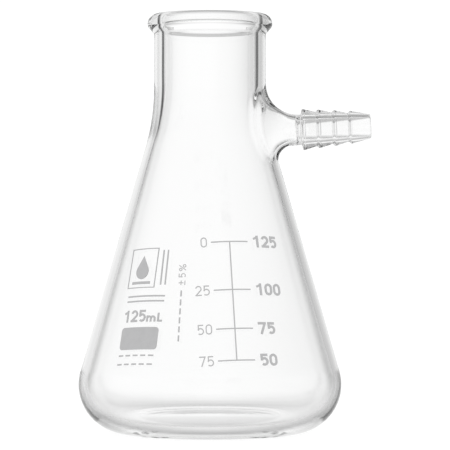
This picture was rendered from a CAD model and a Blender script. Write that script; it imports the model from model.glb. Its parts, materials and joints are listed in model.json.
from collections import namedtuple
import json
import math

import bmesh
import bpy
import numpy as np
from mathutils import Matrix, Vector


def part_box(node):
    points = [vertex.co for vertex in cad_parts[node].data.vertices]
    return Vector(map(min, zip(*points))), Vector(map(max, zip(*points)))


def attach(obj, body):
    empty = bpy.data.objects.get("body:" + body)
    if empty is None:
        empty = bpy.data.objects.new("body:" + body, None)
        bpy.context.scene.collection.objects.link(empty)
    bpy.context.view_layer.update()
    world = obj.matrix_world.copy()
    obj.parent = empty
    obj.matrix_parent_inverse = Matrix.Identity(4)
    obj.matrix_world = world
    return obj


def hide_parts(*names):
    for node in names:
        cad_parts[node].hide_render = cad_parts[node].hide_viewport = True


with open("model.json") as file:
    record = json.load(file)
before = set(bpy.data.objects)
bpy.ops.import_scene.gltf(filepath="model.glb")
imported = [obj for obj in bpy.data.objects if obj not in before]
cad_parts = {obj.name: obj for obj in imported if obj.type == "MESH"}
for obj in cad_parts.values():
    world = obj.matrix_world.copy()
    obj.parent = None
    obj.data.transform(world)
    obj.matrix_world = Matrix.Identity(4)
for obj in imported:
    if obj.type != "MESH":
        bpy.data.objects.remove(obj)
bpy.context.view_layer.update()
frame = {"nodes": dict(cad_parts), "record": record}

# Lengths below are millimetres; MM turns them into the frame's metres.
MM = 0.001

# Sizes taken from the frame
FLASK_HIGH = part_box("flask_body")[1] / MM
FLASK_H = FLASK_HIGH.z
BODY_R = FLASK_HIGH.y
MOUNTS = {m["name"]: m for m in frame["record"]["mounts"]}
NECK_BORE_R = MOUNTS["neck_bore"]["dims"]["r_mm"]
ARM_BORE_R = MOUNTS["arm_bore"]["dims"]["r_mm"]
ARM_AXIS = Vector(MOUNTS["arm_bore"]["axis"]).normalized()
ARM_AT = Vector(MOUNTS["arm_bore"]["pos_m"]) / MM

# The wall
CONE_ANGLE = 16.2
CONE_WALL = 1.9
HEEL_R = 13.2
HEEL_BORE_R = 11.0
BASE_T = 2.8
STAND_R = 19.6
STAND_ROUND = 60.0
STAND_GAP = 0.1
PUSH_UP = 0.8
PUSH_SHARE = 0.94
NECK_R = 15.15
SHOULDER_R = 55.0
SHOULDER_BORE_R = 57.0

# The rolled bead, with its flank's slope in degrees
BEAD_R = 16.9
BEAD_ROUND = 2.6
BEAD_FLANK = 20.0
BEAD_H = 5.4
CREASE_LOW = 1.5
CREASE_ROUND = 0.9
LIP_R = 13.0
LIP_DEEP = 2.8
LIP_BLEND = 2.2
THROAT_ROUND = 4.0
THROAT_RUN = 3.0

# The side arm, with distances along it from the flask's axis
STEM_R = 4.2
STEM_END = 24.7
STEM_GAP = 0.05
STEM_RINGS = 3
FOOT_TOP_R = 8.3
FOOT_SIDE_R = 13.6
FOOT_LOW_R = 3.6
FOOT_WALL = 0.9
FOOT_STEPS = 32
SEAL_AT = 23.4
SEAL_SLOPE = 0.3
SEAL_STEPS = 4
BARBS = 4
FIRST_BARB = 25.1
BARB_PITCH = 4.33
FIRST_BARB_R = 5.65
LAST_BARB_R = 4.5
BARB_DEPTH = 1.0
BARB_BACK = 0.7
BARB_ROUND = 0.4
VALLEY_ROUND = 0.6
TIP_R = 3.45
TIP_AT = 42.6
TIP_SWEEP = 1.6
TIP_LIP = 0.3

# Where the flask's wall thins to the foot's, as shares of the way up the foot
THIN_FROM = 0.05
THIN_BY_TOP = 0.7
THIN_BY_LOW = 1.1

# Glass and enamel. Noise is in cells to a metre, and the stretch is along the flask's height
NOISE_DETAIL = 2.0
GLASS_IOR = 1.474
GLASS_TINT = (0.988, 0.99, 0.989)
GLASS_NOISE, GLASS_STRETCH = 60, 4
RIPPLE_NOISE, RIPPLE_STRETCH = 150, 6
RIPPLE_STRENGTH, RIPPLE_H = 0.5, 0.03
ENAMEL_DARK, ENAMEL_PALE = (0.41, 0.41, 0.415), (0.47, 0.47, 0.475)
ENAMEL_ROUGHNESS = 0.45
ENAMEL_NOISE, GRAIN_NOISE = 700, 4000
GRAIN_STRENGTH, GRAIN_H = 0.3, 0.02

# The camera, level, with the width that it sees at the flask's axis
VIEW_DISTANCE = 700.0
VIEW_WIDTH = 121.7
VIEW_X, VIEW_H = 4.06, 56.2
SENSOR_W = 36.0

# The room, with its lengths in metres and its glows as emission strengths
CLIP_NEAR, CLIP_FAR = 0.01, 50.0
FLOOR_HALF = 6.0
FLOOR_GREY = 0.12
FLOOR_ROUGHNESS = 0.9
FLOOR_GLOW = 0.96
ROOM_GLOW = 1.08
TENT_R = 2.5
TENT_CUTS = 4
TENT_GLOW = 1.06
TENT_LEAST = 0.03

# How often light may bounce
GLASS_BOUNCES, GLOSSY_BOUNCES, DIFFUSE_BOUNCES = 32, 16, 6

# The tent's dark cards. Each takes a share of the light. Its shade starts, is full, stops being full
# and ends at four angles in degrees from straight behind the glass. They count to the right for the
# side cards, and upwards for the level ones, which are low and high
Card = namedtuple("Card", "start full hold end loss")
SIDE_CARDS = [
    Card(-95, -60, -26, -10, 0.08),
    Card(-55, -48, -44, -39, 0.8),
    Card(0, 28, 46, 72, 0.32),
    Card(38, 42, 49, 56, 0.48),
]
LEVEL_CARDS = [
    Card(-68, -35, -29, -10, 0.54),
    Card(14, 19, 58, 67, 0.45),
    Card(34, 56, 58, 66, 0.3),
]

# Changes between two angles, from one share to another. The tent loses BACK_LOSS straight behind the
# glass, and ROOM_FALL to either side. The side cards begin at the height of SIDES_RISE and weaken
# above that of SIDES_FADE. The level cards weaken to either side by LEVELS_FADE
Fade = namedtuple("Fade", "start end low high")
BACK_LOSS = 0.04
ROOM_FALL = Fade(5, 26, 0, 0.12)
SIDES_RISE = Fade(-27, -3, 0, 1)
SIDES_FADE = Fade(18, 32, 1, 0.5)
LEVELS_FADE = Fade(16, 40, 1, 0.4)

# The mesh: columns round the flask, and the block of columns and rows that the arm opens through
COLUMNS = 192
PORT_COLUMNS = 52
PORT_ROWS = 40
PORT_LOW, PORT_HIGH = 69.5, 98.0
PORT_RINGS = 10
PORT_EDGE = 2 * (PORT_COLUMNS + PORT_ROWS)

# Points on the parts of the outlines
HEEL_STEPS = 60
CONE_STEPS = 40
BASE_STEPS = 16
BEAD_STEPS = 30
LIP_STEPS = 12
ROUND_STEPS = 8
NECK_STEPS = 5
TIP_STEPS = 12
BARB_STEPS = 5
BORE_STEPS = 24

# The searches for where the arm meets the wall: passes, the farthest place that they look at, half
# the span over which they take a slope, and a first guess at the contact in foot radii
SEARCH_PASSES = 40
SEARCH_FAR = 40.0
NUDGE = 0.02
CONTACT_GUESS = 0.4

# The most of an edge that a rounded corner takes
ROUND_MOST = 0.45


def arc(centre, radius, start, end, steps):
    """Points on a circle, from one angle to another in degrees."""
    turn = np.radians(np.linspace(start, end, steps + 1))
    return np.array(centre) + radius * np.stack([np.cos(turn), np.sin(turn)], axis=1)


def line(start, end, steps):
    """Points on a straight line, without its first point."""
    share = np.linspace(0, 1, steps + 1)[1:, None]
    return np.array(start) * (1 - share) + np.array(end) * share


def rounded(corners, radii, steps):
    """An outline through the corners, with each inner corner rounded to its radius."""
    points = [np.array(corners[0])]
    for before, corner, after, radius in zip(corners, corners[1:], corners[2:], radii):
        corner = np.array(corner)
        back = np.array(before) - corner
        ahead = np.array(after) - corner
        back_length, ahead_length = np.linalg.norm(back), np.linalg.norm(ahead)
        back, ahead = back / back_length, ahead / ahead_length
        half = math.acos(np.clip(back @ ahead, -1, 1)) / 2
        most = ROUND_MOST * min(back_length, ahead_length)
        reach = min(radius / math.tan(half), most)
        first, last = corner + back * reach, corner + ahead * reach
        for share in np.linspace(0, 1, steps + 1):
            points.append(
                first * (1 - share) ** 2 + corner * 2 * share * (1 - share) + last * share**2
            )
    points.append(np.array(corners[-1]))
    return np.array(points)


class Wall:
    """One face of the wall: a cone, a shoulder arc and a straight neck, as a radius at a height."""

    def __init__(self, cone_c, neck_r, shoulder_r):
        self.ca = math.cos(math.radians(CONE_ANGLE))
        self.sa = math.sin(math.radians(CONE_ANGLE))
        self.cone_c, self.neck_r, self.shoulder_r = cone_c, neck_r, shoulder_r
        self.shoulder_z = (cone_c + shoulder_r - (neck_r + shoulder_r) * self.ca) / self.sa
        self.cone_top = self.shoulder_z - shoulder_r * self.sa

    def radius(self, z):
        z = np.asarray(z, float)
        drop = np.clip(self.shoulder_z - z, 0, self.shoulder_r * self.sa)
        shoulder = self.neck_r + self.shoulder_r - np.sqrt(self.shoulder_r**2 - drop**2)
        cone = (self.cone_c - z * self.sa) / self.ca
        return np.where(z < self.cone_top, cone, shoulder)

    def up(self, low, high, steps):
        """Points up the wall, evenly spaced in height, without the first."""
        z = np.linspace(low, high, steps + 1)[1:]
        return np.stack([self.radius(z), z], axis=1)


def flask_walls():
    ca, sa = math.cos(math.radians(CONE_ANGLE)), math.sin(math.radians(CONE_ANGLE))
    cone_c = (BODY_R - HEEL_R) * ca + HEEL_R * sa + HEEL_R
    outer = Wall(cone_c, NECK_R, SHOULDER_R)
    inner = Wall(cone_c - CONE_WALL, NECK_BORE_R, SHOULDER_BORE_R)
    return outer, inner


def flask_profile(outer, inner):
    """The outline of the glass, from the middle of the base up the outside, over the lip and down
    the inside to the middle of the floor, and the rows where the port's two blocks start."""
    heel_x = BODY_R - HEEL_R
    push_r = (STAND_R**2 + PUSH_UP**2) / (2 * PUSH_UP)
    push_turn = math.degrees(math.asin(STAND_R / push_r))
    under = arc([0, PUSH_UP - push_r], push_r, 90, 90 - PUSH_SHARE * push_turn, BASE_STEPS)
    stand_end = [heel_x - STAND_GAP, 0]
    stand = rounded([under[-1], [STAND_R, 0], stand_end], [STAND_ROUND], ROUND_STEPS)[1:]
    heel = arc([heel_x, HEEL_R], HEEL_R, -90, CONE_ANGLE, HEEL_STEPS)
    parts = [under, stand, heel, outer.up(heel[-1][1], PORT_LOW, CONE_STEPS)]
    outer_row = sum(len(p) for p in parts) - 1
    parts.append(outer.up(PORT_LOW, PORT_HIGH, PORT_ROWS))

    bead_x = BEAD_R - BEAD_ROUND
    bead = arc([bead_x, FLASK_H - BEAD_ROUND], BEAD_ROUND, -BEAD_FLANK, 90, BEAD_STEPS)
    crease = [NECK_R, FLASK_H - BEAD_H]
    parts.append(line(parts[-1][-1], [NECK_R, crease[1] - CREASE_LOW], ROUND_STEPS))
    parts.append(rounded([parts[-1][-1], crease, bead[0]], [CREASE_ROUND], ROUND_STEPS)[1:-1])
    parts.append(bead)
    lip_round = bead_x - LIP_R
    parts.append(arc([bead_x, FLASK_H - lip_round], lip_round, 90, 180, LIP_STEPS)[1:])
    lip_low = [LIP_R, FLASK_H - LIP_DEEP]
    throat = [NECK_BORE_R, lip_low[1] - LIP_BLEND]
    throat_low = [NECK_BORE_R, throat[1] - THROAT_RUN]
    corners = [parts[-1][-1], lip_low, throat, throat_low]
    parts.append(rounded(corners, [THROAT_ROUND] * 2, ROUND_STEPS)[1:])
    parts.append(line(parts[-1][-1], [NECK_BORE_R, PORT_HIGH], NECK_STEPS))
    inner_row = sum(len(p) for p in parts) - 1
    parts.append(inner.up(PORT_LOW, PORT_HIGH, PORT_ROWS)[::-1][1:])
    parts.append([[float(inner.radius(PORT_LOW)), PORT_LOW]])

    heel_z = BASE_T + HEEL_BORE_R
    heel_bore_x = (inner.cone_c - HEEL_BORE_R - heel_z * inner.sa) / inner.ca
    heel_bore = arc([heel_bore_x, heel_z], HEEL_BORE_R, CONE_ANGLE, -90, HEEL_STEPS)
    parts.append(inner.up(heel_bore[0][1], PORT_LOW, CONE_STEPS)[::-1][1:])
    parts.append(heel_bore)
    parts.append(line(heel_bore[-1], [0, BASE_T], BASE_STEPS))
    return np.concatenate(parts), outer_row, inner_row


def arm_frame():
    """The arm's start on the flask's axis, and its directions along, up and across."""
    along = np.array(ARM_AXIS)
    start = np.array(ARM_AT) - along * (ARM_AT.x / ARM_AXIS.x)
    across = np.array([0.0, 1.0, 0.0])
    up = np.cross(along, across)
    up *= -1 if up[2] < 0 else 1
    return start, along, up, across


def reach_wall(wall, rho, turn):
    """How far along the arm a line beside its axis meets the wall, at a distance and a turn."""
    start, along, up, across = arm_frame()
    base = start + rho[:, None] * (np.cos(turn)[:, None] * up + np.sin(turn)[:, None] * across)
    low, high = np.zeros_like(rho), np.full_like(rho, SEARCH_FAR)
    for _ in range(SEARCH_PASSES):
        mid = (low + high) / 2
        p = base + mid[:, None] * along
        outside = np.hypot(p[:, 0], p[:, 1]) > wall.radius(p[:, 2])
        low, high = np.where(outside, low, mid), np.where(outside, mid, high)
    return (low + high) / 2


def foot_arcs(wall, turn):
    """The arc that blends the wall into the tube, in each plane through the arm's axis: its radius,
    its centre's distances from the axis and along it, and the angle where it leaves the wall."""
    middle_r = (FOOT_TOP_R + FOOT_LOW_R) / 2
    radius = middle_r + (FOOT_TOP_R - middle_r) * np.cos(turn)
    radius += (FOOT_SIDE_R - middle_r) * np.sin(turn) ** 2
    contact = STEM_R + CONTACT_GUESS * radius
    for _ in range(SEARCH_PASSES):
        ahead = reach_wall(wall, contact + NUDGE, turn)
        behind = reach_wall(wall, contact - NUDGE, turn)
        slope = np.arctan((ahead - behind) / (2 * NUDGE))
        contact = 0.5 * contact + 0.5 * (STEM_R + radius * (1 + np.sin(slope)))
    centre = reach_wall(wall, contact, turn) + radius * np.cos(slope)
    return radius, STEM_R + radius, centre, 1.5 * math.pi + slope


def foot_point(arcs, share, depth):
    """A point at a share of that arc, at a depth in the glass: its distances from the arm's axis
    and along it."""
    radius, rho, along, leave = arcs
    angle = (1 - share) * leave + share * math.pi
    reach = radius + depth
    return rho + reach * np.cos(angle), along + reach * np.sin(angle)


def flare_rows(arcs, wall, turn):
    """The inside of the foot: the flask's wall thins to the foot's own, and then comes the seal
    where the barbed tube's bore starts."""
    depth = np.full_like(turn, CONE_WALL)
    for _ in range(SEARCH_PASSES):
        rho, along = foot_point(arcs, 0, depth)
        depth += 0.5 * (along - reach_wall(wall, rho, turn))
    thin_by = THIN_BY_TOP + (THIN_BY_LOW - THIN_BY_TOP) * np.abs(np.sin(turn / 2))
    rows = []
    for share in np.linspace(0, 1, FOOT_STEPS + 1):
        left = np.clip((thin_by - share) / (thin_by - THIN_FROM), 0, 1)
        thick = FOOT_WALL + (depth - FOOT_WALL) * left**2 * (3 - 2 * left)
        rho, along = foot_point(arcs, share, thick)
        rows.append((rho, np.minimum(along, SEAL_AT)))
    seal_r = STEM_R - FOOT_WALL
    step = seal_r - ARM_BORE_R
    for share in np.linspace(0, 1, SEAL_STEPS + 1)[1:]:
        rows.append((seal_r - step * share, SEAL_AT + SEAL_SLOPE * step * share))
    return rows


def barb_radius(i):
    return FIRST_BARB_R + (LAST_BARB_R - FIRST_BARB_R) * i / (BARBS - 1)


def barb_profile():
    """The barbed end, from the plain stem over the barbs and the tip to the start of the bore."""
    corners, radii = [(STEM_R, STEM_END)], []
    for i in range(BARBS):
        edge = FIRST_BARB + i * BARB_PITCH
        foot = STEM_R if i == 0 else barb_radius(i - 1) - BARB_DEPTH
        if i:
            corners.append((foot, edge - BARB_BACK))
            radii.append(VALLEY_ROUND)
        corners.append((barb_radius(i), edge))
        radii.append(BARB_ROUND)
    tip_turn = math.acos((ARM_BORE_R + TIP_LIP - TIP_R + TIP_SWEEP) / (TIP_SWEEP - TIP_LIP))
    tip = arc([TIP_R - TIP_SWEEP, TIP_AT], TIP_SWEEP, 0, math.degrees(tip_turn), TIP_STEPS)
    lip_at = TIP_AT + (TIP_SWEEP - TIP_LIP) * math.sin(tip_turn)
    lip = arc([ARM_BORE_R + TIP_LIP, lip_at], TIP_LIP, math.degrees(tip_turn), 180, ROUND_STEPS)
    barbs = rounded(corners + [tuple(tip[0])], radii, BARB_STEPS)
    bore = line(lip[-1], [ARM_BORE_R, STEM_END], BORE_STEPS)
    return np.concatenate([barbs, tip[1:], lip[1:], bore])


def port_edge(row):
    """The block's edge as (column, row) pairs, from the top right corner the way the arm's rings
    turn: the ring's turn 0 is up, and a quarter turn is towards +Y."""
    half = PORT_COLUMNS // 2
    top = [(c, PORT_ROWS) for c in range(0, half)]
    side = [(half, r) for r in range(PORT_ROWS, 0, -1)]
    low = [(c, 0) for c in range(half, -half, -1)]
    back = [(-half, r) for r in range(0, PORT_ROWS)]
    rest = [(c, PORT_ROWS) for c in range(-half, 0)]
    return top + side + low + back + rest


class Builder:
    """Collects the points and faces of one mesh."""

    def __init__(self):
        self.points, self.faces = [], []

    def add(self, points):
        first = len(self.points)
        self.points.extend(map(tuple, points))
        return list(range(first, first + len(points)))

    def strip(self, a, b):
        """Faces between two closed rings with as many points."""
        for i in range(len(a)):
            j = (i + 1) % len(a)
            self.faces.append((a[i], a[j], b[j], b[i]))

    def mesh(self, name):
        """The mesh in metres, without the points that no face uses."""
        used = sorted({i for face in self.faces for i in face})
        place = {old: new for new, old in enumerate(used)}
        points = [[c * MM for c in self.points[i]] for i in used]
        faces = [[place[i] for i in face] for face in self.faces]
        mesh = bpy.data.meshes.new(name)
        mesh.from_pydata(points, [], faces)
        mesh.validate()
        for polygon in mesh.polygons:
            polygon.use_smooth = True
        mesh.update()
        return mesh


def glass_mesh():
    """The whole glass as one closed skin: the flask turned from its outline, with the arm's tube
    carried through a round port in the outside and back through one in the inside."""
    outer, inner = flask_walls()
    profile, outer_row, inner_row = flask_profile(outer, inner)
    build = Builder()
    angle = np.arange(COLUMNS) * 2 * math.pi / COLUMNS
    half = PORT_COLUMNS // 2

    def blocked(row, column):
        near = column < half or column >= COLUMNS - half
        return near and (outer_row <= row < outer_row + PORT_ROWS
                         or inner_row <= row < inner_row + PORT_ROWS)

    rings = []
    for r, z in profile[1:-1]:
        ring = np.stack([r * np.cos(angle), r * np.sin(angle), np.full_like(angle, z)], axis=1)
        rings.append(build.add(ring))
    rings = [build.add([(0, 0, profile[0][1])]) * COLUMNS] + rings
    rings.append(build.add([(0, 0, profile[-1][1])]) * COLUMNS)
    for row, (a, b) in enumerate(zip(rings, rings[1:])):
        for i in range(COLUMNS):
            j = (i + 1) % COLUMNS
            if blocked(row, i):
                continue
            face = (a[i], a[j], b[j], b[i])
            if row == 0:
                face = (a[i], b[j], b[i])
            elif row == len(rings) - 2:
                face = (a[i], a[j], b[i])
            build.faces.append(face)

    start, along, up, across = arm_frame()
    turn = np.arange(PORT_EDGE) * 2 * math.pi / PORT_EDGE

    def arm_ring(rho, u):
        rho, u = np.broadcast_to(rho, turn.shape), np.broadcast_to(u, turn.shape)
        side = np.cos(turn)[:, None] * up + np.sin(turn)[:, None] * across
        return start + u[:, None] * along + rho[:, None] * side

    def port(wall, first_row, downwards, rows):
        """Joins the wall to the first arm ring, and returns that ring's points."""
        edge = []
        for column, row in port_edge(first_row):
            index = first_row + (PORT_ROWS - row if downwards else row)
            edge.append(rings[index][column % COLUMNS])
        outside = np.array([build.points[i] for i in edge])
        inside = arm_ring(*rows[0])
        flat_out = np.stack([np.arctan2(outside[:, 1], outside[:, 0]), outside[:, 2]], axis=1)
        flat_in = np.stack([np.arctan2(inside[:, 1], inside[:, 0]), inside[:, 2]], axis=1)
        ring_before = edge
        for k in range(1, PORT_RINGS):
            share = k / PORT_RINGS
            flat = flat_out * (1 - share) + flat_in * share
            r = wall.radius(flat[:, 1])
            points = np.stack([r * np.cos(flat[:, 0]), r * np.sin(flat[:, 0]), flat[:, 1]], axis=1)
            ring = build.add(points)
            build.strip(*((ring_before, ring) if downwards else (ring, ring_before)))
            ring_before = ring
        ring = build.add(inside)
        build.strip(*((ring_before, ring) if downwards else (ring, ring_before)))
        return ring

    arcs = foot_arcs(outer, turn)
    foot = [foot_point(arcs, share, 0) for share in np.linspace(0, 1, FOOT_STEPS + 1)]
    flare = flare_rows(arcs, inner, turn)
    first = port(outer, outer_row, False, foot)
    last = port(inner, inner_row, True, flare)
    stem_top = STEM_END - STEM_GAP
    stem = []
    for share in np.linspace(0, 1, STEM_RINGS + 1)[1:]:
        stem.append((STEM_R, foot[-1][1] * (1 - share) + stem_top * share))
    ring_before = first
    for rho, u in foot[1:] + stem + list(map(tuple, barb_profile())) + flare[:0:-1]:
        ring = build.add(arm_ring(rho, u))
        build.strip(ring, ring_before)
        ring_before = ring
    build.strip(last, ring_before)
    return build.mesh("flask_glass")


def node_material(name):
    """A new material with its Principled shader."""
    material = bpy.data.materials.new(name)
    material.use_nodes = True
    return material, material.node_tree, material.node_tree.nodes["Principled BSDF"]


def add_noise(tree, scale, stretch):
    """Noise over the object, with so many cells to a metre, stretched along the flask's height."""
    coords = tree.nodes.new("ShaderNodeTexCoord")
    mapping = tree.nodes.new("ShaderNodeMapping")
    mapping.inputs["Scale"].default_value = (1, 1, 1 / stretch)
    noise = tree.nodes.new("ShaderNodeTexNoise")
    noise.inputs["Scale"].default_value = scale
    noise.inputs["Detail"].default_value = NOISE_DETAIL
    tree.links.new(coords.outputs["Object"], mapping.inputs["Vector"])
    tree.links.new(mapping.outputs["Vector"], noise.inputs["Vector"])
    return noise.outputs["Fac"]


def add_tint(tree, shader, share, low, high):
    """A base colour that runs between two colours."""
    ramp = tree.nodes.new("ShaderNodeValToRGB")
    for element, colour in zip(ramp.color_ramp.elements, (low, high)):
        element.color = (*colour, 1)
    tree.links.new(share, ramp.inputs["Fac"])
    tree.links.new(ramp.outputs["Color"], shader.inputs["Base Color"])


def add_bump(tree, shader, height, strength, depth):
    bump = tree.nodes.new("ShaderNodeBump")
    bump.inputs["Strength"].default_value = strength
    bump.inputs["Distance"].default_value = depth * MM
    tree.links.new(height, bump.inputs["Height"])
    tree.links.new(bump.outputs["Normal"], shader.inputs["Normal"])


def glass_material():
    """Clear glass, with the faint ripples that shaping it leaves in its surface."""
    material, tree, shader = node_material("borosilicate_glass")
    shader.inputs["Roughness"].default_value = 0.0
    shader.inputs["IOR"].default_value = GLASS_IOR
    shader.inputs["Transmission Weight"].default_value = 1.0
    add_tint(tree, shader, add_noise(tree, GLASS_NOISE, GLASS_STRETCH), GLASS_TINT, (1, 1, 1))
    ripples = add_noise(tree, RIPPLE_NOISE, RIPPLE_STRETCH)
    add_bump(tree, shader, ripples, RIPPLE_STRENGTH, RIPPLE_H)
    return material


def enamel_material():
    """Grey enamel fired on to the glass: a little uneven in shade and finely grained."""
    material, tree, shader = node_material("fired_enamel")
    shader.inputs["Roughness"].default_value = ENAMEL_ROUGHNESS
    add_tint(tree, shader, add_noise(tree, ENAMEL_NOISE, 1), ENAMEL_DARK, ENAMEL_PALE)
    add_bump(tree, shader, add_noise(tree, GRAIN_NOISE, 1), GRAIN_STRENGTH, GRAIN_H)
    return material


def add_object(mesh, material):
    piece = bpy.data.objects.new(mesh.name, mesh)
    bpy.context.scene.collection.objects.link(piece)
    mesh.materials.append(material)
    return piece


def make_glass():
    glass = add_object(glass_mesh(), glass_material())
    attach(glass, "root")
    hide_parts("flask_body", "side_arm")


def finish_enamel():
    enamel = enamel_material()
    for name, node in frame["nodes"].items():
        if name in ("flask_body", "side_arm"):
            continue
        node.data.materials.clear()
        node.data.materials.append(enamel)


def make_camera():
    camera = bpy.data.objects.new("camera", bpy.data.cameras.new("camera"))
    bpy.context.scene.collection.objects.link(camera)
    camera.data.sensor_width = SENSOR_W
    camera.data.lens = SENSOR_W * VIEW_DISTANCE / VIEW_WIDTH
    camera.location = (VIEW_X * MM, -VIEW_DISTANCE * MM, VIEW_H * MM)
    camera.rotation_euler = (math.pi / 2, 0, 0)
    camera.data.clip_start = CLIP_NEAR
    camera.data.clip_end = CLIP_FAR
    bpy.context.scene.camera = camera


def make_world():
    world = bpy.data.worlds.new("studio")
    world.use_nodes = True
    bpy.context.scene.world = world
    background = world.node_tree.nodes["Background"]
    background.inputs["Color"].default_value = (1, 1, 1, 1)
    background.inputs["Strength"].default_value = ROOM_GLOW


def make_floor():
    mesh = bpy.data.meshes.new("floor")
    corners = [(x * FLOOR_HALF, y * FLOOR_HALF, 0) for x, y in ((-1, -1), (1, -1), (1, 1), (-1, 1))]
    mesh.from_pydata(corners, [], [(0, 1, 2, 3)])
    material, _, shader = node_material("floor_white")
    shader.inputs["Base Color"].default_value = (FLOOR_GREY, FLOOR_GREY, FLOOR_GREY, 1)
    shader.inputs["Roughness"].default_value = FLOOR_ROUGHNESS
    shader.inputs["Specular IOR Level"].default_value = 0.0
    shader.inputs["Emission Color"].default_value = (1, 1, 1, 1)
    shader.inputs["Emission Strength"].default_value = FLOOR_GLOW
    floor = add_object(mesh, material)
    floor.visible_transmission = False
    floor.visible_glossy = False


def add_math(tree, operation, *values):
    """A math node fed by sockets or numbers, and its output."""
    node = tree.nodes.new("ShaderNodeMath")
    node.operation = operation
    for socket, value in zip(node.inputs, values):
        if isinstance(value, (int, float)):
            socket.default_value = value
        else:
            tree.links.new(value, socket)
    return node.outputs[0]


def add_fade(tree, angle, fade):
    """A share that changes between two angles, and stays the same past them."""
    change = tree.nodes.new("ShaderNodeMapRange")
    tree.links.new(angle, change.inputs["Value"])
    change.inputs["From Min"].default_value = math.radians(fade.start)
    change.inputs["From Max"].default_value = math.radians(fade.end)
    change.inputs["To Min"].default_value = fade.low
    change.inputs["To Max"].default_value = fade.high
    return change.outputs["Result"]


def add_cards(tree, angle, cards, total):
    """What the cards take from the light at an angle, on top of a total so far."""
    for card in cards:
        rise = add_fade(tree, angle, Fade(card.start, card.full, 0, 1))
        fall = add_fade(tree, angle, Fade(card.hold, card.end, 1, 0))
        shade = add_math(tree, "MINIMUM", rise, fall)
        total = add_math(tree, "MULTIPLY_ADD", shade, card.loss, total)
    return total


def tent_material():
    """Light by direction from the middle of the tent, where +Y is behind the glass."""
    material = bpy.data.materials.new("tent_light")
    material.use_nodes = True
    tree = material.node_tree
    tree.nodes.clear()
    coords = tree.nodes.new("ShaderNodeTexCoord")
    unit = tree.nodes.new("ShaderNodeVectorMath")
    unit.operation = "NORMALIZE"
    tree.links.new(coords.outputs["Object"], unit.inputs[0])
    split = tree.nodes.new("ShaderNodeSeparateXYZ")
    tree.links.new(unit.outputs["Vector"], split.inputs["Vector"])
    aside = add_math(tree, "ARCTAN2", split.outputs["X"], split.outputs["Y"])
    height = add_math(tree, "ARCSINE", split.outputs["Z"])
    away = add_math(tree, "ABSOLUTE", aside)

    side = add_cards(tree, aside, SIDE_CARDS, add_fade(tree, away, ROOM_FALL))
    side = add_math(tree, "MULTIPLY", side, add_fade(tree, height, SIDES_RISE))
    side = add_math(tree, "MULTIPLY", side, add_fade(tree, height, SIDES_FADE))
    level = add_cards(tree, height, LEVEL_CARDS, BACK_LOSS)
    level = add_math(tree, "MULTIPLY", level, add_fade(tree, away, LEVELS_FADE))

    light = add_math(tree, "SUBTRACT", add_math(tree, "SUBTRACT", 1, side), level)
    strength = add_math(tree, "MULTIPLY", add_math(tree, "MAXIMUM", light, TENT_LEAST), TENT_GLOW)
    emission = tree.nodes.new("ShaderNodeEmission")
    tree.links.new(strength, emission.inputs["Strength"])
    output = tree.nodes.new("ShaderNodeOutputMaterial")
    tree.links.new(emission.outputs["Emission"], output.inputs["Surface"])
    return material


def make_tent():
    """The light that the glass sees: a soft tent, brightest behind the glass, with darker cards at
    its sides, above it and under it. It stands still, level with the photograph's camera."""
    form = bmesh.new()
    bmesh.ops.create_icosphere(form, subdivisions=TENT_CUTS, radius=TENT_R)
    mesh = bpy.data.meshes.new("tent")
    form.to_mesh(mesh)
    form.free()
    tent = add_object(mesh, tent_material())
    tent.location = (VIEW_X * MM, 0, VIEW_H * MM)
    tent.visible_camera = False
    tent.visible_diffuse = False
    tent.visible_shadow = False


def set_render():
    scene = bpy.context.scene
    scene.view_settings.view_transform = "Standard"
    scene.cycles.use_denoising = True
    scene.cycles.max_bounces = GLASS_BOUNCES
    scene.cycles.transmission_bounces = GLASS_BOUNCES
    scene.cycles.transparent_max_bounces = GLASS_BOUNCES
    scene.cycles.glossy_bounces = GLOSSY_BOUNCES
    scene.cycles.diffuse_bounces = DIFFUSE_BOUNCES


make_glass()
finish_enamel()
make_camera()
make_world()
make_floor()
make_tent()
set_render()
